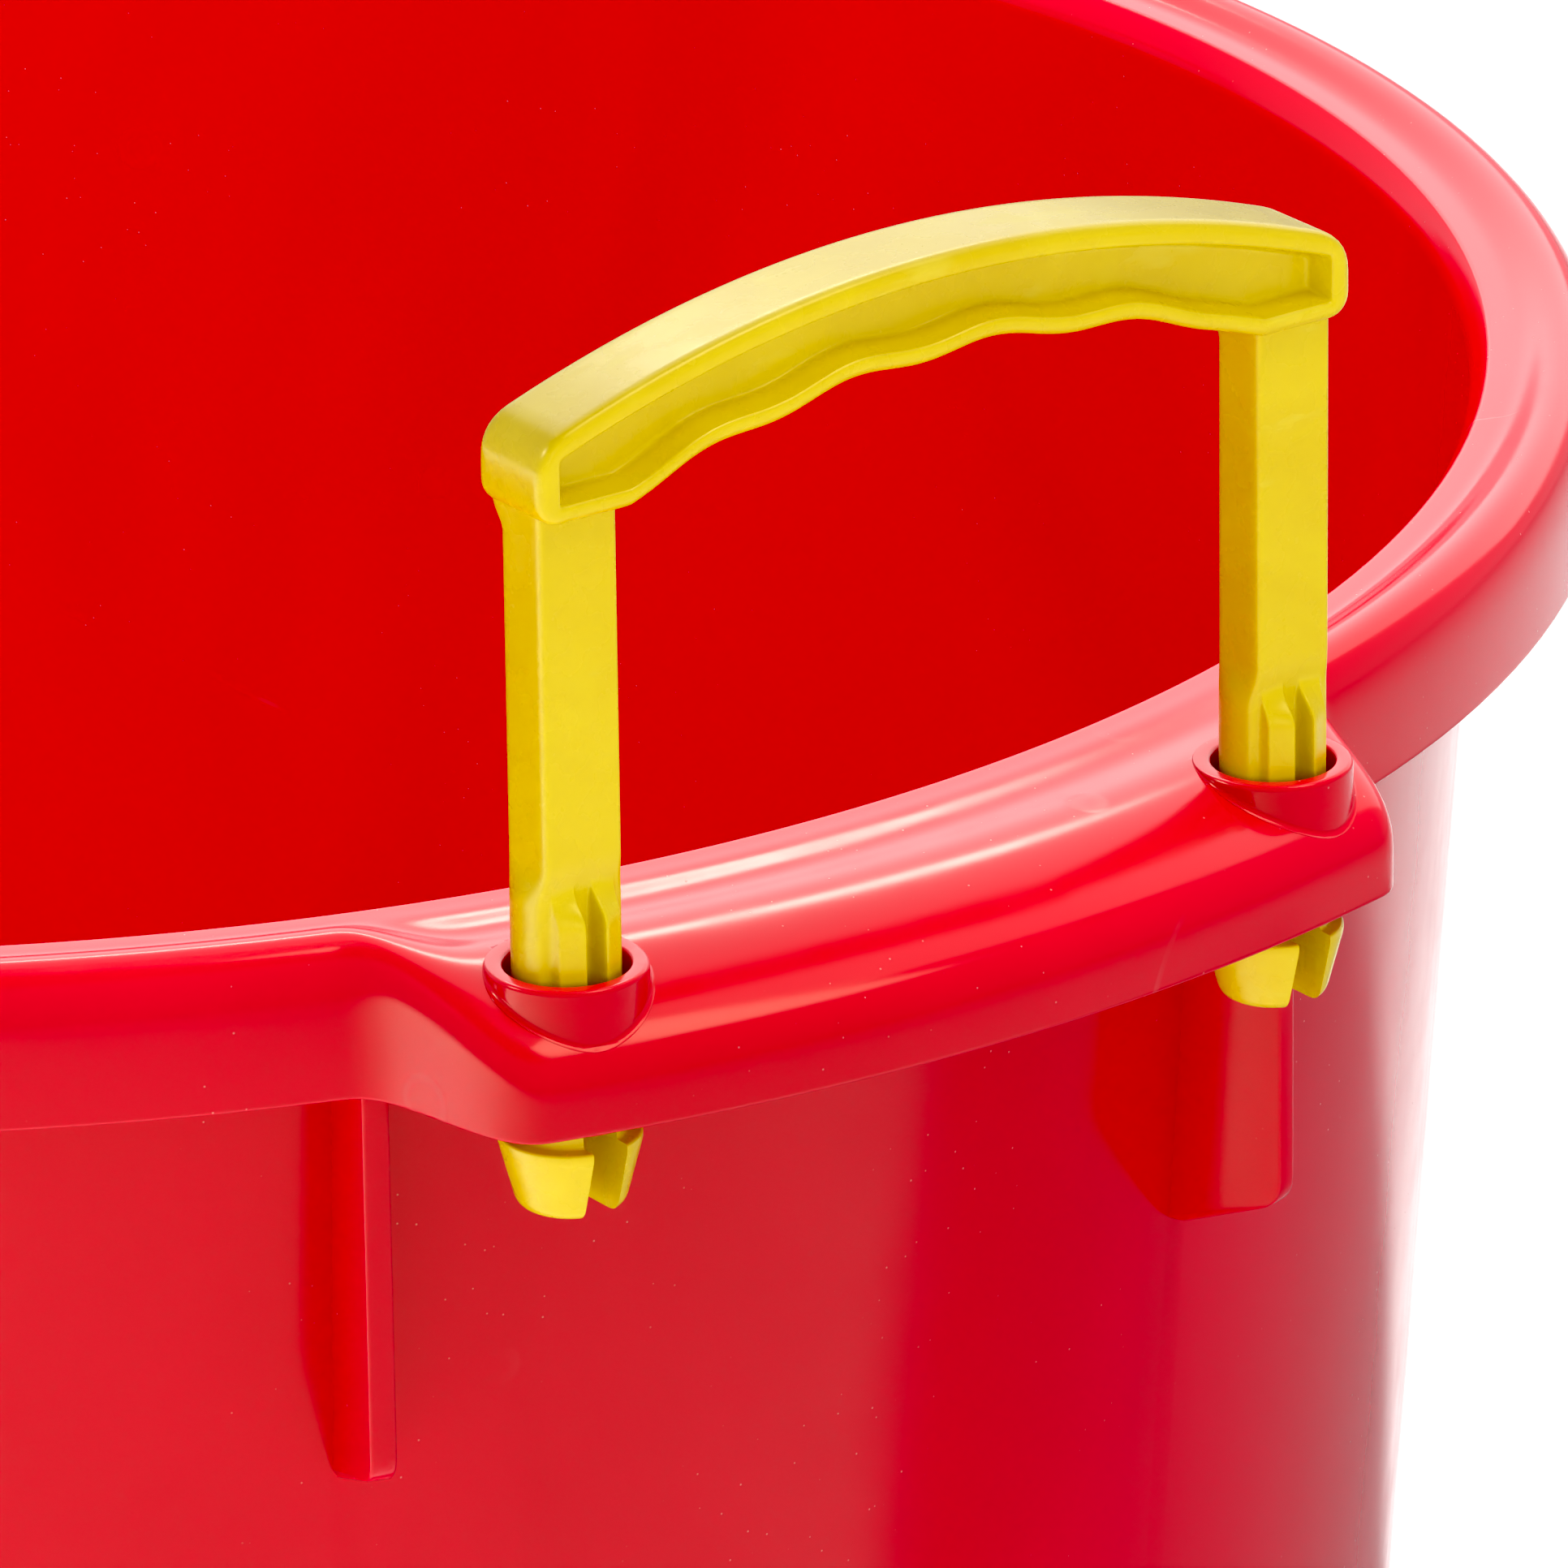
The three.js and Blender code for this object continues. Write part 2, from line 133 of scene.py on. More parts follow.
GRIP_DROP = 11.7                           # fall of the top from the middle to the ends
GRIP_HALF_DEPTH = 6.8                      # half the depth along X
GRIP_OVERHANG = 1.5                        # grip's ends past the legs
GRIP_END = LEG_Y + LEG_WIDTH / 2 + GRIP_OVERHANG
GRIP_CORNER = 3.2                          # rounding of the outline's lower corners
GRIP_LEAST_CORNER = 0.5                    # and its least inside the recess
GRIP_SHOULDER = 1.45                       # size of an upper corner over a lower one
# from the edge to the recess floor: (in from the outline, back from the face, rounding)
GRIP_PROFILE = [(0.0, 2.2, 0), (0.0, 0.0, 1.7), (3.0, 0.0, 0.6), (4.0, 4.25, 0.8), (5.6, 4.25, 0)]
LOW_BORDER_TRIM = 0.55                     # the border under the recess is slimmer by this
LOW_BORDER_RUN = (0.4, 2.2)                # inset where the trim starts, and length over which it grows
HAND_GAP = 2 * LEG_Y - LEG_WIDTH           # between the legs
ARCH_MARGIN = 0.5                          # arch's ends short of the legs
FINGERS = 4
FINGER_MARGIN = 5.4                        # leg to the first finger hollow
FINGER_PITCH = (HAND_GAP - 2 * FINGER_MARGIN) / FINGERS
FINGER_DEPTH = 1.2                         # depth of a finger hollow
FINGER_SHIFT = -4.0                        # all four hollows moved along Y

LUG_RADIUS = RIM_RADIUS + LUG_WIDTH
LUG_HALF_ANGLE = math.degrees(math.asin((LEG_Y + LUG_END_MARGIN) / LUG_RADIUS))
LUG_BEND_ANGLE = math.degrees(LUG_BEND_LENGTH / LUG_RADIUS)
GUSSET_ANGLE = LUG_HALF_ANGLE + math.degrees(GUSSET_OFFSET / LUG_RADIUS)

# ------------------------------------------------------------------ fineness of the meshes

CORNER_STEPS = 7                           # points round a corner of the tub, a gusset or a barb
GRIP_STEPS = 8                             # points round an edge of the grip
RIM_STEPS = 6                              # points to a span of the rim's top
SECTION_STEPS = 5                          # points to a span of a leg's section
LUG_COLUMNS, BEND_COLUMNS, PLAIN_COLUMNS = 20, 28, 44   # along half a lug, an S-bend and a plain rim
BEND_MARGIN = 1.0                          # degrees of close columns on either side of an S-bend
COLLAR_COLUMNS = 144                       # points round a collar
BORE_COLUMNS = 96                          # points round a bore or a barb
ALONG = 181                                # points along the grip's underside, and along its top
ROUND = 14                                 # points round each end of the grip
TUB_CREASE = 35                            # degrees between two faces that make an edge sharp
HANDLE_CREASE = 30

# ------------------------------------------------------------------ colours and light

RED_DEEP = (0.56, 0.0006, 0.018)           # the two colours of the flow clouds
RED_BRIGHT = (0.64, 0.0010, 0.023)
RED_TINT = (1.0, 0.68, 0.40, 1)            # tint of the straight-on reflection
RED_ROUGHNESS = 0.135
RED_IOR = 1.5
YELLOW_DEEP = (0.57, 0.42, 0.008)          # the two colours of the flow clouds
YELLOW_BRIGHT = (0.61, 0.47, 0.011)
YELLOW_RUB = (0.72, 0.66, 0.10)            # rub marks
YELLOW_TINT = (1.0, 0.9, 0.6, 1)
YELLOW_ROUGHNESS = 0.24
YELLOW_IOR = 1.49
DUST = (0.75, 0.45, 0.45)                  # dust specks, scratches and water rings
PAPER_DEEP = (0.86, 0.86, 0.86)            # the two colours of the floor
PAPER_BRIGHT = (0.90, 0.90, 0.90)

CAMERA_AIM = (237.4, -21.65, 345.23)       # the point in the middle of the view
CAMERA_DISTANCE = 1783.24
CAMERA_TURN = (-35.835, 21.888, -0.7275)   # azimuth from +X, elevation and roll in degrees
CAMERA_LENS = 332.16                       # focal length
CAMERA_SENSOR = 36.0                       # width of the sensor
CAMERA_CLIP = (0.05, 60.0)                 # nearest and farthest distance seen, in metres
LIGHT_AIM = (0, 0, 300)                    # the lights' aim, inside the tub
CONTRAST = (0.0, 0.034, 0.026)             # the black point that deepens the reds
HORIZON = 0.7                              # brightness of the surround near the floor's edge
CEILING = 0.15                             # and overhead
HORIZON_TOP = (0.62, 0.85)                 # height in the sky (sine) where the one fades to the other
FLOOR_HALF = 8.0                           # metres from the middle of the floor to its edge


# ------------------------------------------------------------------ curves and surfaces

def smooth(t):
    """Smooth step from 0 to 1: 6 t^5 - 15 t^4 + 10 t^3."""
    t = np.clip(t, 0, 1)
    return t * t * t * (t * (6 * t - 15) + 10)


def spline_weights(t):
    """The four weights of a uniform cubic B-spline at the share t of a span."""
    return np.stack([(1 - t) ** 3, 3 * t ** 3 - 6 * t ** 2 + 4,
                     -3 * t ** 3 + 3 * t ** 2 + 3 * t + 1, t ** 3]) / 6


def closed_spline(control, steps):
    """Closed uniform cubic B-spline of control points (..., n, d), with steps samples to a span."""
    t = np.arange(steps) / steps
    count = control.shape[-2]
    around = np.stack([np.roll(control, 1 - k, axis=-2) for k in range(4)])
    points = np.einsum("kt,k...nd->...ntd", spline_weights(t), around)
    return points.reshape(*control.shape[:-2], count * steps, control.shape[-1])


def spline_through(points, steps):
    """Open cubic B-spline through the points: its control points solve (a + 4 b + c) / 6 = point, and
    the ends run straight on."""
    points = np.asarray(points, float)
    count = len(points)
    system = np.eye(count) * 4 + np.eye(count, k=1) + np.eye(count, k=-1)
    system[0, :2] = (6, 0)
    system[-1, -2:] = (0, 6)
    inner = np.linalg.solve(system, points * 6)
    control = np.concatenate([[2 * inner[0] - inner[1]], inner, [2 * inner[-1] - inner[-2]]])
    t = np.arange(steps) / steps
    spans = np.stack([control[k:k + count - 1] for k in range(4)])
    curve = np.einsum("kt,knd->ntd", spline_weights(t), spans).reshape(-1, points.shape[1])
    return np.concatenate([curve, points[-1:]])


def corner_arcs(before, corner, after, cut, steps):
    """Each corner becomes the parabola arc that touches its two sides at the distance cut."""
    toward = lambda other: (other - corner) / np.linalg.norm(other - corner, axis=-1, keepdims=True)
    start = corner + toward(before) * cut
    end = corner + toward(after) * cut
    t = np.linspace(0, 1, steps)[:, None]
    arcs = (1 - t) ** 2 * start[:, None] + 2 * t * (1 - t) * corner[:, None] + t ** 2 * end[:, None]
    return arcs.reshape(-1, corner.shape[1])


def rounded_path(corners, steps=CORNER_STEPS):
    """Open polygon of (across, up, cut) corners with its inner corners rounded."""
    corners = np.asarray(corners, float)
    points, cut = corners[:, :2], corners[1:-1, 2:]
    arcs = corner_arcs(points[:-2], points[1:-1], points[2:], cut, steps)
    return np.concatenate([points[:1], arcs, points[-1:]])


def rounded_loop(corners, steps=CORNER_STEPS):
    """Closed polygon of (across, up, cut) corners, all rounded."""
    corners = np.asarray(corners, float)
    points, cut = corners[:, :2], corners[:, 2:]
    return corner_arcs(np.roll(points, 1, 0), points, np.roll(points, -1, 0), cut, steps)


def inset(loop, distance):
    """A closed anticlockwise loop moved inwards, each point along the mean normal of its two sides."""
    along = np.roll(loop, -1, 0) - np.roll(loop, 1, 0)
    normal = np.stack([-along[:, 1], along[:, 0]], -1)
    return loop + distance * normal / np.linalg.norm(normal, axis=-1, keepdims=True)


def mesh_object(name, points, faces):
    """A mesh object of these points, given in millimetres, with its faces turned outwards."""
    mesh = bpy.data.meshes.new(name)
    mesh.from_pydata((points * MM).tolist(), [], faces)
    mesh.update()
    made = bpy.data.objects.new(name, mesh)
    bpy.context.scene.collection.objects.link(made)
    if enclosed_volume(mesh) < 0:
        mesh.flip_normals()
    return made


def enclosed_volume(mesh):
    """Signed volume: the sum of a . (b x c) / 6 over the triangles."""
    mesh.calc_loop_triangles()
    index = np.empty(len(mesh.loop_triangles) * 3, np.int32)
    mesh.loop_triangles.foreach_get("vertices", index)
    place = np.empty(len(mesh.vertices) * 3)
    mesh.vertices.foreach_get("co", place)
    a, b, c = place.reshape(-1, 3)[index.reshape(-1, 3)].transpose(1, 0, 2)
    return float((a * np.cross(b, c)).sum() / 6)


def loops_surface(name, loops, ring=False, cap=None):
    """A closed surface through rows of closed loops (rows, around, 3). The first and last loop are
    capped with the faces of cap, or with one flat face, or joined to each other on a ring."""
    rows, around = loops.shape[:2]
    row = np.arange(rows if ring else rows - 1)[:, None] * around
    column = np.arange(around)[None]
    after = (column + 1) % around
    low, high = row, (row + around) % (rows * around)
    quads = np.stack([low + column, low + after, high + after, high + column], -1).reshape(-1, 4)
    faces = quads.tolist()
    if not ring:
        cap = cap or [list(range(around))]
        last = (rows - 1) * around
        faces += [face[::-1] for face in cap] + [[corner + last for corner in face] for face in cap]
    return mesh_object(name, loops.reshape(-1, 3), faces)


def combine(target, other, operation):
    """Joins other to target, or cuts it away, and removes it."""
    change = target.modifiers.new("combine", "BOOLEAN")
    change.operation = operation
    change.solver = "MANIFOLD"
    change.object = other
    whole = bpy.context.evaluated_depsgraph_get()
    made = bpy.data.meshes.new_from_object(target.evaluated_get(whole))
    made.name = target.name
    target.modifiers.clear()
    target.data = made
    bpy.data.objects.remove(other)


def soften(piece, angle):
    """Smooth shading, with a crease where two faces meet at more than the angle, in degrees."""
    piece.data.shade_smooth()
    piece.data.set_sharp_from_angle(angle=math.radians(angle))


# ------------------------------------------------------------------ tub

def wall_radius(height):
    """Outer face of the tapered wall at a height above the base."""
    return RIM_RADIUS + WALL_SETBACK - WALL_TAPER * (STRIP - height)


def lug_share(angle):
    """0 on the plain rim and 1 on a lug, by the angle in degrees from the X axis."""
    folded = np.abs((np.asarray(angle) + 90) % 180 - 90)
    start = LUG_HALF_ANGLE + LUG_BEND_ANGLE + BEND_EASE
    return smooth((start - folded) / (LUG_BEND_ANGLE + 2 * BEND_EASE))


def rim_top(width, lug):
    """Top of the rim from the upper skirt over the bead or the lug to the strip: points (across from
    the inner edge, up from the strip)."""
    if lug:
        return [(width, -14.0), (width - 0.05, -12.2), (width - 0.45, -10.2), (width - 1.5, -8.1),
                (width - 3.8, -5.9), (width - 8.0, -3.5), (width - 13.5, -1.3), (width - 20.3, -0.2),
                (width - 26.8, -0.75), (width - 31.6, -0.15), (3.2, 0.0), (1.0, 0.0)]
    return [(width, -10.0), (width - 0.05, -7.4), (width - 0.25, -5.0), (width - 0.75, -2.6),
            (width - 1.75, -0.3), (width - 3.4, 1.4), (0.66 * width, BEAD_HEIGHT - BEAD_SHORT),
            (0.522 * width, 1.75), (0.396 * width, 0.8), (0.28 * width, 0.1), (2.6, 0.0), (1.0, 0.0)]


def tub_outline(lug):
    """Tub outline (radius, height) from the underside round to the inner floor, on a lug or beside it."""
    width = (LUG_WIDTH if lug else RIM_WIDTH) - SIDE_SHORT
    foot = wall_radius(0)
    ring = foot - BASE_CORNER - FOOT_WIDTH
    step = ring - FOOT_STEP
    at = lambda across, up, cut=0.0: (RIM_RADIUS + across, STRIP + up, cut)
    under = [at(width - SKIRT - 1.5, -1.8, 1.6), at(width - SKIRT, -4.5, 1.6)]
    if lug:
        under = [at(0.70 * width, -5.0, 4.0), at(width - SKIRT, -11.0, 3.0)]
    outside = rounded_path([
        (HUB, FOOT_STEP, 0), (step, FOOT_STEP, STEP_CUT), (ring, 0, STEP_CUT), (foot, 0, BASE_CORNER),
        (wall_radius(STRIP - WALL_TOP), STRIP - WALL_TOP, WALL_CUT), *under,
        at(width - SKIRT, -RIM_DEPTH, SKIRT_EDGE_CUT[0]), at(width, -RIM_DEPTH, SKIRT_EDGE_CUT[1]),
        at(*rim_top(width, lug)[0])])
    top = spline_through(rim_top(width, lug), RIM_STEPS) + (RIM_RADIUS, STRIP)
    inside = rounded_path([
        at(1.0, 0.0), at(0.15, 0.0, 0.5), at(-0.75, -1.2, 0.7),
        (wall_radius(STRIP - INNER_WALL_TOP) - WALL, STRIP - INNER_WALL_TOP, WALL_CUT),
        (foot - WALL, FLOOR, BASE_CORNER), (ring, FLOOR, STEP_CUT), (step, FLOOR + FOOT_STEP, STEP_CUT),
        (HUB, FLOOR + FOOT_STEP, 0)])
    return np.concatenate([outside[:-1], top, inside[1:]])


def ring_angles():
    """Angles round the tub in degrees, close together along the lugs and closest in their S-bends."""
    begin = LUG_HALF_ANGLE - BEND_MARGIN
    finish = LUG_HALF_ANGLE + LUG_BEND_ANGLE + BEND_MARGIN
    stretches = [(0, begin, LUG_COLUMNS), (begin, finish, BEND_COLUMNS), (finish, 90, PLAIN_COLUMNS)]
    quarter = np.concatenate([np.linspace(a, b, n, endpoint=False) for a, b, n in stretches])
    half = np.concatenate([quarter, [90], 180 - quarter[:0:-1]])
    return np.concatenate([half, half + 180])


def tub_shell():
    """The outline carried round the axis: radius and height go from the plain outline to the lug's
    by the lug share of the angle."""
    angle = ring_angles()
    plain, lug = tub_outline(False), tub_outline(True)
    outline = plain[:, None] + lug_share(angle)[None, :, None] * (lug - plain)[:, None]
    turn = np.radians(angle)
    radius, height = outline[..., 0], outline[..., 1]
    return loops_surface("tub", np.stack([radius * np.cos(turn), radius * np.sin(turn), height], -1))


def lug_height(x, y):
    """Height of the lug's top above the strip at a place."""
    top = spline_through(rim_top(LUG_WIDTH, True), RIM_STEPS)[::-1]
    return np.interp(np.hypot(x, y) - RIM_RADIUS, top[:, 0], top[:, 1])


def collar(x, y):
    """A ring round one leg: bore, rounded top edges, outer wall and a small fillet on to the lug. Each
    profile point is (radius, height) round the leg's axis; the fillet follows the lug's height."""
    turn = np.linspace(0, 2 * np.pi, COLLAR_COLUMNS, endpoint=False)
    reach = COLLAR_RADIUS + COLLAR_FOOT
    ground = lug_height(x + reach * np.cos(turn), y + reach * np.sin(turn))
    fillet = np.clip(-COLLAR_FILLET[0] * ground, *COLLAR_FILLET[1:])
    lip = np.clip(-COLLAR_LIP[0] * ground, *COLLAR_LIP[1:])
    bore_side, wall_side = np.full_like(turn, BORE_RADIUS), np.full_like(turn, COLLAR_RADIUS)
    top, low = np.zeros_like(turn), np.full_like(turn, -BOSS_DEPTH)
    profile = [(bore_side, low + BORE_EDGE), (bore_side, top - BORE_STRAIGHT)]
    for bend in np.linspace(0, np.pi / 2, 6):
        profile.append((bore_side + BORE_EDGE * (1 - np.cos(bend)), top - BORE_EDGE * (1 - np.sin(bend))))
    for bend in np.linspace(0, np.pi / 2, 7):
        profile.append((COLLAR_RADIUS - lip * (1 - np.sin(bend)), -lip * (1 - np.cos(bend))))
    for bend in np.linspace(0, FILLET_TURN, 7):
        profile.append((COLLAR_RADIUS + fillet * (1 - np.cos(bend)), ground + fillet * (1 - np.sin(bend))))
    profile += [(COLLAR_RADIUS + FILLET_SPREAD * fillet, ground - COLLAR_SINK[0]),
                (wall_side, ground - COLLAR_SINK[1]), (wall_side, low + BOSS_EDGE),
                (wall_side - BOSS_EDGE, low), (bore_side + BORE_EDGE, low)]
    radius, height = np.array(profile).transpose(1, 0, 2)
    loops = np.stack([x + radius * np.cos(turn), y + radius * np.sin(turn), STRIP + height], -1)
    return loops_surface("collar", loops, ring=True)


def plate(loop, half, edge, turn):
    """A flat plate of the closed loop (radius, height), with rounded edges, standing on the plane
    through the Z axis at an angle: near each face the loop is inset along a quarter circle."""
    bend = np.linspace(0, np.pi / 2, 5)
    step = np.concatenate([[-np.pi / 2], -bend[::-1][1:], bend[1:], [np.pi / 2]])
    loops = []
    for k, b in enumerate(step):
        side = math.copysign(half - edge, b) if b else -(half - edge)
        moved = inset(loop, edge * (1 - math.cos(b)))
        loops.append(np.stack([moved[:, 0], np.full(len(loop), side + edge * math.sin(b)), moved[:, 1]], -1))
    middle = len(step) // 2
    loops.insert(middle, loops[middle - 1] * (1, 0, 1) + (0, half - edge, 0))
    rows = np.array(loops)[1:-1]
    c, s = math.cos(turn), math.sin(turn)
    across, aside, up = rows.transpose(2, 0, 1)
    return loops_surface("plate", np.stack([across * c - aside * s, across * s + aside * c, up], -1))


def gusset(angle):
    """One stiffening plate between the wall and the skirt, under the rim."""
    foot = STRIP - GUSSET_FOOT
    outer = RIM_RADIUS + GUSSET_REACH
    width = RIM_WIDTH + float(lug_share(angle)) * (LUG_WIDTH - RIM_WIDTH)
    skirt = RIM_RADIUS + width - SKIRT
    loop = rounded_loop([
        (wall_radius(foot) - GUSSET_ROOT, foot, 0.3), (wall_radius(foot) + 2, foot, 0.6),
        (outer, foot + GUSSET_SLANT, 3.2), (outer, STRIP - RIM_DEPTH + 1.0, 0.4),
        (skirt + 0.4, STRIP - RIM_DEPTH + 3.5, 0.5), (skirt + 0.4, STRIP - 5.0, 0.5),
        (RIM_RADIUS + 11.0, STRIP - 1.6, 0.5), (RIM_RADIUS + 3.0, STRIP - 1.4, 0.5),
        (wall_radius(STRIP - 2.4) - 1.0, STRIP - 2.4, 0.3)])
    return plate(loop, GUSSET_THICKNESS / 2, GUSSET_EDGE, math.radians(angle))


def bore(x, y):
    """A round cutter through the lug, halfway between a collar's bore and its outer wall."""
    radius = (BORE_RADIUS + COLLAR_RADIUS) / 2
    turn = np.linspace(0, 2 * np.pi, BORE_COLUMNS, endpoint=False)
    circle = np.stack([x + radius * np.cos(turn), y + radius * np.sin(turn)], -1)
    heights = np.array([STRIP - BOSS_DEPTH - BORE_SPARE, STRIP + BORE_SPARE])
    loops = np.concatenate([np.broadcast_to(circle, (2, *circle.shape)),
                            np.broadcast_to(heights[:, None, None], (2, len(turn), 1))], -1)
    return loops_surface("bore", loops)


def build_tub():
    """The shell with four gussets joined on, four bores cut out and a collar joined round each bore."""
    tub = tub_shell()
    for front in (1, -1):
        for side in (1, -1):
            x, y = front * LEG_X, side * LEG_Y
            middle = 0 if front > 0 else 180
            combine(tub, gusset(middle + side * GUSSET_ANGLE), "UNION")
            combine(tub, bore(x, y), "DIFFERENCE")
            combine(tub, collar(x, y), "UNION")
    soften(tub, TUB_CREASE)
    return tub


# ------------------------------------------------------------------ handles

def grip_under(y):
    """Underside of the grip: an arch between the legs, with one cosine hollow for each finger."""
    arch = GRIP_RISE * np.clip(1 - (y / (HAND_GAP / 2 - ARCH_MARGIN)) ** 2, 0, None)
    along = y - FINGER_SHIFT
    wave = FINGER_DEPTH / 2 * (1 - np.cos(2 * np.pi * along / FINGER_PITCH))
    return GRIP_UNDER + arch + np.where(np.abs(along) < FINGERS / 2 * FINGER_PITCH, wave, 0)


def grip_loop(border, lift):
    """The grip's outline (y, up), moved inwards by the border, anticlockwise seen from the front:
    underside, lower corner, end, upper corner and arched top, and the same again at the other end."""
    end = GRIP_END - border
    corner = max(GRIP_CORNER - border, GRIP_LEAST_CORNER)
    cut = GRIP_SHOULDER * corner
    top = lambda y: GRIP_TOP - border - GRIP_DROP * (y / GRIP_END) ** 2
    low = GRIP_UNDER + border + lift
    y = np.linspace(corner - end, end - corner, ALONG)
    under = np.stack([y, grip_under(y) + border + lift], -1)
    bend = np.radians(np.linspace(-90, 0, ROUND // 2 + 1))[1:]
    lower = np.stack([end - corner + corner * np.cos(bend), low + corner + corner * np.sin(bend)], -1)
    t = np.linspace(0, 1, ROUND // 2 + 1)[:-1, None]
    begin, tip, finish = np.array([(end, top(end) - cut), (end, top(end)), (end - cut, top(end - cut))])
    upper = (1 - t) ** 2 * begin + 2 * t * (1 - t) * tip + t ** 2 * finish
    y = np.linspace(end - cut, cut - end, ALONG)
    arch = np.stack([y, top(y)], -1)
    mirror = (-1, 1)
    return np.concatenate([under, lower, upper, arch, upper[::-1] * mirror, lower[::-1] * mirror])


def grip_cap():
    """Faces across one outline of the grip: strips from the underside to the top, and the two ends."""
    under = np.arange(ALONG)
    top = 2 * ALONG + ROUND - 1 - under
    strips = np.stack([under[:-1], under[1:], top[1:], top[:-1]], -1).tolist()
    right = list(range(ALONG - 1, ALONG + ROUND + 1))
    left = list(range(2 * ALONG + ROUND - 1, 2 * ALONG + 2 * ROUND)) + [0]
    return strips + [right, left]


def grip():
    """Rows of outlines from the floor of the front recess, up its drafted wall, over the rim of the
    recess and the rounded edge, across the depth, and down into the back recess in the same way."""
    rows = []
    for border, depth in rounded_path(GRIP_PROFILE, GRIP_STEPS):
        lift = -LOW_BORDER_TRIM * float(smooth((border - LOW_BORDER_RUN[0]) / LOW_BORDER_RUN[1]))
        loop = grip_loop(border, lift)
        rows.append(np.concatenate([np.full((len(loop), 1), GRIP_HALF_DEPTH - depth), loop], -1))
    front = np.array(rows)[::-1]
    back = front[::-1] * (-1, 1, 1)
    return loops_surface("grip", np.concatenate([front, back]), cap=grip_cap())


def leg_sections(height):
    """Closed sections (x, y) of a leg at these heights: a rounded rectangle up in the shank, and below
    it a round stem with a flat front and two ribs, whose tops slope back into the front."""
    rib = smooth((RIB_RUN[0] - height) / RIB_RUN[1])[:, None]
    stem = smooth((STEM_RUN[0] - height) / STEM_RUN[1])[:, None]
    one = np.ones_like(rib)
    width, depth = LEG_WIDTH / 2, LEG_DEPTH / 2
    front = depth - (depth - STEM_FLAT) * stem
    inner, outer = front + RIB_INNER * rib, front + RIB_OUTER * rib
    ribbed = np.stack([
        np.concatenate([x * one, y * one], -1) for x, y in [
            (front, 0.0), (front, 0.75), (front + 0.1 * rib, 1.2), (inner, 1.28), (inner, 1.75),
            (0.5 * (inner + outer), 3.0), (outer, 4.3), (outer, 4.72), (front + 0.1 * rib, 4.8)]], 1)
    back = -depth - BACK_FILLET[0] * smooth((height - GRIP_UNDER + BACK_FILLET[1]) / BACK_FILLET[2])[:, None]
    square = np.stack([np.concatenate([x * one, y * one], -1) for x, y in [
        (depth, width), (0.55 * depth, width + 0.05), (0.2 * depth, width), (-0.2 * depth, width),
        (-0.6 * depth, width), (back, width), (back, 0.75 * width), (back, 0.4 * width)]], 1)
    turn = np.radians([61.5, 70, 84, 99, 115, 131, 148, 165])
    swell = np.array([1.0, 1.01] + 6 * [STEM_SWELL]) * STEM_RADIUS
    round_ = np.stack([swell * np.cos(turn), swell * np.sin(turn)], -1)[None]
    side = square + stem[..., None] * (round_ - square)
    rear = np.stack([np.concatenate([back + stem * (-STEM_SWELL * STEM_RADIUS - back), 0 * one], -1)], 1)
    half = np.concatenate([ribbed[:, 1:], side], 1)
    control = np.concatenate([ribbed[:, :1], half, rear, half[:, ::-1] * (1, -1)], 1)
    return closed_spline(control, SECTION_STEPS)


def leg(side):
    """Shank, stem and ribs: the sections stacked along the leg's axis."""
    ribs = np.linspace(4.5, 16.5, 36)
    fillet = np.linspace(55.5, GRIP_UNDER + LEG_SINK, 12)
    height = np.concatenate([[-BOSS_DEPTH - 0.5, -8, 3], ribs, [30, 45], fillet])
    section = leg_sections(height)
    up = np.broadcast_to(height[:, None, None], (*section.shape[:2], 1))
    loops = np.concatenate([section + (0, side * LEG_Y), up], -1)
    return loops_surface("leg", loops)


def barb(side):
    """Round stem end and snap barb: circles along the profile (radius, height)."""
    profile = rounded_path([
        (STEM_RADIUS, -BOSS_DEPTH + 0.3, 0), (STEM_RADIUS, BARB_SHOULDER, 0.5),
        (BARB_RADIUS, BARB_SHOULDER, 0.45), (BARB_RADIUS, BARB_SHOULDER - BARB_LIP, 0.4),
        (BARB_TIP, BARB_BOTTOM, 1.7), (BARB_FLAT, BARB_BOTTOM, 0)])
    turn = np.linspace(0, 2 * np.pi, BORE_COLUMNS, endpoint=False)
    radius, height = profile[:, :1], profile[:, 1:]
    loops = np.stack([radius * np.cos(turn), side * LEG_Y + radius * np.sin(turn),
                      np.broadcast_to(height, (len(profile), len(turn)))], -1)
    return loops_surface("barb", loops)


def slot(side):
    """The cutter that splits the stem and its barb into two prongs, rounded at its top."""
    low = BARB_BOTTOM - SLOT_SPARE
    loop = rounded_loop([(-SLOT_HALF, low, 0.2), (SLOT_HALF, low, 0.2),
                         (SLOT_HALF, SLOT_TOP, 1.5), (-SLOT_HALF, SLOT_TOP, 1.5)])
    ends = [np.concatenate([np.full((len(loop), 1), x), loop + (side * LEG_Y, 0)], -1)
            for x in (-SLOT_REACH, SLOT_REACH)]
    return loops_surface("slot", np.array(ends))


def build_handle(name, front):
    """Grip, two legs and their barbs joined into one piece, on +X or -X."""
    handle = grip()
    handle.name = name
    for side in (1, -1):
        combine(handle, leg(side), "UNION")
        combine(handle, barb(side), "UNION")
        combine(handle, slot(side), "DIFFERENCE")
    turn = Matrix.Rotation(0 if front > 0 else math.pi, 4, "Z")
    handle.data.transform(turn @ Matrix.Translation((LEG_X * MM, 0, STRIP * MM)))
    soften(handle, HANDLE_CREASE)
    return handle


# ------------------------------------------------------------------ materials

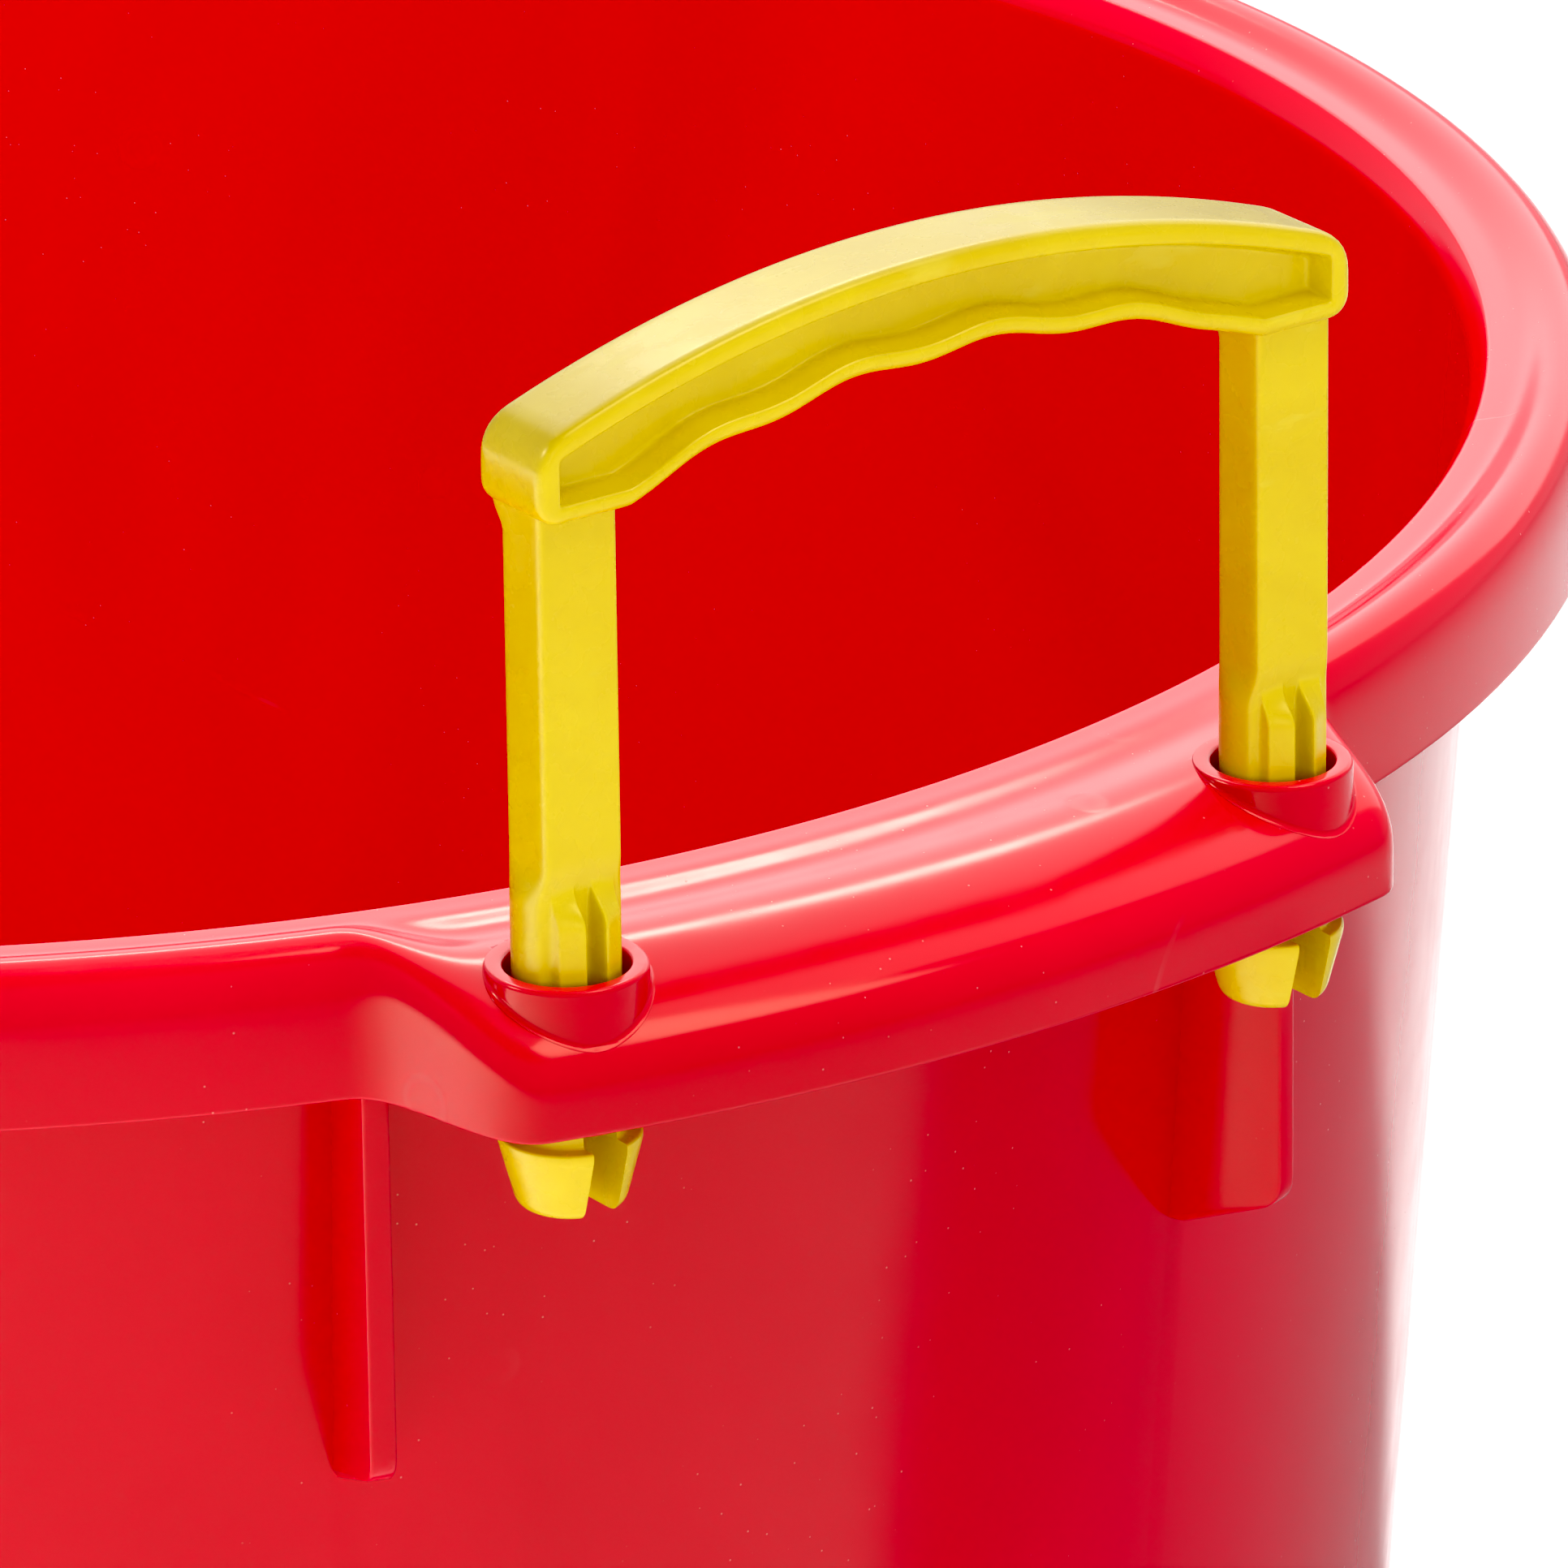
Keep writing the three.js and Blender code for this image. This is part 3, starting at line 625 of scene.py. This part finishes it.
class Finish:
    """A material and its node tree, with short calls for the nodes that the finishes share."""

    def __init__(self, name):
        self.material = bpy.data.materials.new(name)
        self.material.use_nodes = True
        self.tree = self.material.node_tree
        self.shader = self.tree.nodes["Principled BSDF"]
        self.place = self.tree.nodes.new("ShaderNodeTexCoord").outputs["Object"]

    def put(self, socket, value):
        """Links a node's output to the socket, or sets the socket to a plain value."""
        if isinstance(value, bpy.types.NodeSocket):
            self.tree.links.new(value, socket)
        else:
            socket.default_value = value

    def shine(self, **values):
        """Sets inputs of the surface shader by name."""
        for name, value in values.items():
            self.put(self.shader.inputs[name.replace("_", " ")], value)

    def noise(self, scale, detail=2.0, rough=0.5, stretch=(1, 1, 1), warp=0.0):
        """Noise of this many features to a metre, from 0 to 1."""
        mapping = self.tree.nodes.new("ShaderNodeMapping")
        mapping.inputs["Scale"].default_value = stretch
        self.put(mapping.inputs["Vector"], self.place)
        node = self.tree.nodes.new("ShaderNodeTexNoise")
        for name, value in dict(Vector=mapping.outputs["Vector"], Scale=scale, Detail=detail,
                                Roughness=rough, Distortion=warp).items():
            self.put(node.inputs[name], value)
        return node.outputs["Fac"]

    def cells(self, scale):
        """Distance to the nearest of scattered points, this many to a metre."""
        node = self.tree.nodes.new("ShaderNodeTexVoronoi")
        self.put(node.inputs["Vector"], self.place)
        self.put(node.inputs["Scale"], scale)
        return node.outputs["Distance"]

    def ramp(self, value, low, high, start=0.0, end=1.0):
        """The value's range from low to high carried smoothly on to start..end."""
        node = self.tree.nodes.new("ShaderNodeMapRange")
        node.interpolation_type = "SMOOTHSTEP"
        for name, number in {"Value": value, "From Min": low, "From Max": high,
                             "To Min": start, "To Max": end}.items():
            self.put(node.inputs[name], number)
        return node.outputs["Result"]

    def sum(self, a, b, operation="ADD"):
        """The sum, or another operation, of two values."""
        node = self.tree.nodes.new("ShaderNodeMath")
        node.operation = operation
        self.put(node.inputs[0], a)
        self.put(node.inputs[1], b)
        return node.outputs["Value"]

    def blend(self, share, a, b):
        """Colour a where the share is 0 and colour b where it is 1."""
        node = self.tree.nodes.new("ShaderNodeMix")
        node.data_type = "RGBA"
        self.put(node.inputs["Factor"], share)
        self.put(node.inputs["A"], a if isinstance(a, bpy.types.NodeSocket) else (*a, 1))
        self.put(node.inputs["B"], b if isinstance(b, bpy.types.NodeSocket) else (*b, 1))
        return node.outputs["Result"]

    def bump(self, height, depth, under=None):
        """Relief of this depth in millimetres where the height goes from 0 to 1."""
        node = self.tree.nodes.new("ShaderNodeBump")
        node.inputs["Distance"].default_value = depth * MM
        self.put(node.inputs["Height"], height)
        if under is not None:
            self.put(node.inputs["Normal"], under)
        return node.outputs["Normal"]


def red_plastic():
    """Glossy red polypropylene: slow flow clouds in the colour, wavy moulded skin, hairline scratches,
    dust specks and dried water rings."""
    f = Finish("glossy red polypropylene")
    clouds = f.noise(9, 3, 0.55, stretch=(1, 1, 0.5), warp=0.6)
    colour = f.blend(f.ramp(clouds, 0.3, 0.7), RED_DEEP, RED_BRIGHT)
    dust = f.ramp(f.cells(420), 0.035, 0.075, 1.0, 0.0)
    patches = f.ramp(f.noise(26, 2), 0.46, 0.62)
    dust = f.sum(dust, patches, "MULTIPLY")
    colour = f.blend(f.sum(dust, 0.35, "MULTIPLY"), colour, DUST)
    field = f.noise(7, 1, 0.4, stretch=(1, 1, 0.6), warp=0.4)
    line = f.sum(f.sum(field, 0.5, "SUBTRACT"), 0, "ABSOLUTE")
    scratch = f.ramp(line, 0.0004, 0.0012, 1.0, 0.0)
    scratch = f.sum(scratch, f.ramp(f.noise(21, 3), 0.56, 0.64), "MULTIPLY")
    colour = f.blend(f.sum(scratch, 0.22, "MULTIPLY"), colour, DUST)
    spot = f.cells(34)
    ring = f.sum(f.ramp(spot, 0.085, 0.11), f.ramp(spot, 0.12, 0.14, 1.0, 0.0), "MULTIPLY")
    ring = f.sum(ring, f.ramp(f.noise(11, 1), 0.55, 0.62), "MULTIPLY")
    colour = f.blend(f.sum(ring, 0.035, "MULTIPLY"), colour, DUST)
    blotch = f.ramp(f.noise(55, 4, 0.6), 0.35, 0.75, 0.0, 0.055)
    rough = f.sum(blotch, f.sum(f.sum(scratch, ring), 0.10, "MULTIPLY"))
    rough = f.sum(rough, f.sum(dust, 0.25, "MULTIPLY"))
    rough = f.sum(rough, RED_ROUGHNESS)
    waves = f.bump(f.noise(34, 2, 0.4), 0.035)
    skin = f.bump(f.noise(900, 2, 0.5), 0.0016, waves)
    skin = f.bump(scratch, -0.01, skin)
    skin = f.bump(dust, 0.02, skin)
    skin = f.bump(ring, 0.02, skin)
    f.shine(Base_Color=colour, Roughness=rough, Normal=skin)
    f.shine(IOR=RED_IOR, Specular_Tint=RED_TINT)
    return f.material


def yellow_plastic():
    """Satin yellow polypropylene: faint flow clouds, a fine matt skin, pits and small rub marks."""
    f = Finish("satin yellow polypropylene")
    clouds = f.noise(38, 3, 0.6, warp=0.8)
    colour = f.blend(f.ramp(clouds, 0.3, 0.72), YELLOW_DEEP, YELLOW_BRIGHT)
    rub = f.ramp(f.noise(140, 4, 0.62, stretch=(1, 0.35, 1)), 0.60, 0.72)
    colour = f.blend(f.sum(rub, 0.18, "MULTIPLY"), colour, YELLOW_RUB)
    specks = f.ramp(f.cells(650), 0.05, 0.10, 1.0, 0.0)
    specks = f.sum(specks, f.ramp(f.noise(90, 2), 0.52, 0.62), "MULTIPLY")
    rough = f.sum(f.ramp(f.noise(210, 3), 0.3, 0.7, 0.0, 0.06), f.sum(specks, -0.12, "MULTIPLY"))
    rough = f.sum(f.sum(rough, f.sum(rub, 0.05, "MULTIPLY")), YELLOW_ROUGHNESS)
    waves = f.bump(f.noise(60, 1, 0.4), 0.018)
    skin = f.bump(f.noise(1500, 2, 0.55), 0.0015, waves)
    skin = f.bump(specks, 0.012, skin)
    f.shine(Base_Color=colour, Roughness=rough, Normal=skin)
    f.shine(IOR=YELLOW_IOR, Specular_Tint=YELLOW_TINT)
    return f.material


def floor_white():
    """Matt white sweep paper with a faint fibre."""
    f = Finish("white paper")
    fibre = f.noise(120, 3)
    f.shine(Base_Color=f.blend(fibre, PAPER_DEEP, PAPER_BRIGHT),
            Roughness=f.ramp(fibre, 0, 1, 0.55, 0.7), Normal=f.bump(fibre, 0.05))
    return f.material


# ------------------------------------------------------------------ studio

def direction(azimuth, elevation):
    """Unit vector at an azimuth from +X and an elevation, in degrees."""
    a, e = math.radians(azimuth), math.radians(elevation)
    return Vector((math.cos(a) * math.cos(e), math.sin(a) * math.cos(e), math.sin(e)))


def camera():
    """Camera with a long lens, looking down at the front handle."""
    data = bpy.data.cameras.new("camera")
    data.sensor_width = CAMERA_SENSOR
    data.lens = CAMERA_LENS
    data.clip_start, data.clip_end = CAMERA_CLIP
    made = bpy.data.objects.new("camera", data)
    azimuth, elevation, roll = CAMERA_TURN
    back = direction(azimuth, elevation)
    turn = Matrix.Rotation(math.radians(roll), 3, "Z")
    made.location = Vector(CAMERA_AIM) * MM + back * CAMERA_DISTANCE * MM
    made.rotation_mode = "QUATERNION"
    made.rotation_quaternion = back.to_track_quat("Z", "Y") @ turn.to_quaternion()
    bpy.context.scene.collection.objects.link(made)
    bpy.context.scene.camera = made


def area_light(name, azimuth, elevation, distance, size, power):
    """A rectangular light at a direction and distance in metres from the lights' aim, facing it."""
    data = bpy.data.lights.new(name, "AREA")
    data.shape = "RECTANGLE"
    data.size, data.size_y = size
    data.energy = power
    made = bpy.data.objects.new(name, data)
    back = direction(azimuth, elevation)
    made.location = Vector(LIGHT_AIM) * MM + back * distance
    made.rotation_mode = "QUATERNION"
    made.rotation_quaternion = back.to_track_quat("Z", "Y")
    made.visible_camera = False
    bpy.context.scene.collection.objects.link(made)
    return made


def light_only(light, objects):
    """The light falls on these objects and on no others."""
    lit = bpy.data.collections.new(light.name + "_falls_on")
    for one in objects:
        lit.objects.link(one)
    light.light_linking.receiver_collection = lit


def sky():
    """A white surround: bright from the floor's edge up to HORIZON_TOP, dimmer overhead."""
    world = bpy.data.worlds.new("studio")
    bpy.context.scene.world = world
    world.use_nodes = True
    nodes, links = world.node_tree.nodes, world.node_tree.links
    split = nodes.new("ShaderNodeSeparateXYZ")
    links.new(nodes.new("ShaderNodeTexCoord").outputs["Generated"], split.inputs["Vector"])
    fade = nodes.new("ShaderNodeMapRange")
    fade.interpolation_type = "SMOOTHSTEP"
    for name, number in {"From Min": HORIZON_TOP[0], "From Max": HORIZON_TOP[1],
                         "To Min": HORIZON, "To Max": CEILING}.items():
        fade.inputs[name].default_value = number
    links.new(split.outputs["Z"], fade.inputs["Value"])
    links.new(fade.outputs["Result"], nodes["Background"].inputs["Strength"])
    nodes["Background"].inputs["Color"].default_value = (1, 1, 1, 1)


def white_floor():
    """A flat square of paper under the tub."""
    half = FLOOR_HALF
    mesh = bpy.data.meshes.new("floor")
    mesh.from_pydata([(-half, -half, 0), (half, -half, 0), (half, half, 0), (-half, half, 0)], [],
                     [(0, 1, 2, 3)])
    floor = bpy.data.objects.new("floor", mesh)
    bpy.context.scene.collection.objects.link(floor)
    floor.data.materials.append(floor_white())
    return floor


def lights(floor, tub, handles):
    """Each light has a name, azimuth, elevation, distance, size and power. The soft ones light what
    they are set on and make no glints; the last four are seen only as reflections."""
    soft = [("front_softbox", 28, 60, 2.6, (0.8, 0.8), 24, [tub, *handles]),
            ("back_softbox", 144, 40, 3.0, (3.0, 3.0), 45, [tub, *handles]),
            ("overhead", 28, 82, 2.6, (1.0, 1.0), 60, [tub]),
            ("handle_fill", -15, 12, 2.6, (1.0, 1.0), 26, handles),
            ("inside_light", 0, 90, 0.14, (0.30, 0.30), 0.45, [tub])]
    light_only(area_light("floor_light", -117, 32, 3.0, (0.2, 0.2), 270), [floor])
    for *place, lit in soft:
        light = area_light(*place)
        light.visible_glossy = False
        light_only(light, lit)
    area_light("front_glint", 28, 58, 2.6, (1.0, 1.0), 16).visible_diffuse = False
    area_light("backdrop_glow", 128, 46, 3.0, (4.6, 4.2), 104).visible_diffuse = False
    area_light("left_glint", -118, 38, 3.0, (0.5, 0.5), 20).visible_diffuse = False
    area_light("back_glint", 143, 42, 2.8, (1.2, 0.25), 12).visible_diffuse = False


def tone():
    """Plain view of the colours, with a slightly raised black point."""
    view = bpy.context.scene.view_settings
    view.view_transform = "Standard"
    view.look = "None"
    view.use_curve_mapping = True
    view.curve_mapping.black_level = CONTRAST
    view.curve_mapping.update()


def studio(tub, *handles):
    """White floor and surround; a wide backdrop light behind, a floor light behind to the left, a
    softbox in front to the right, and small softboxes that show only as glints."""
    sky()
    lights(white_floor(), tub, handles)
    tone()


# ------------------------------------------------------------------ the object

camera()
red = red_plastic()
yellow = yellow_plastic()
pieces = [(build_tub(), "tub", "tub", red)]
pieces.append((build_handle("front_handle_moulding", 1), "front_handle", "handles", yellow))
pieces.append((build_handle("rear_handle_moulding", -1), "rear_handle", "handles", yellow))
pieces[0][0].name = "tub_moulding"
for piece, body, finish, material in pieces:
    piece.data.materials.clear()
    piece.data.materials.append(material)
    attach(piece, body)
    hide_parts(body)

studio(*[piece for piece, *rest in pieces])

bpy.context.view_layer.update()
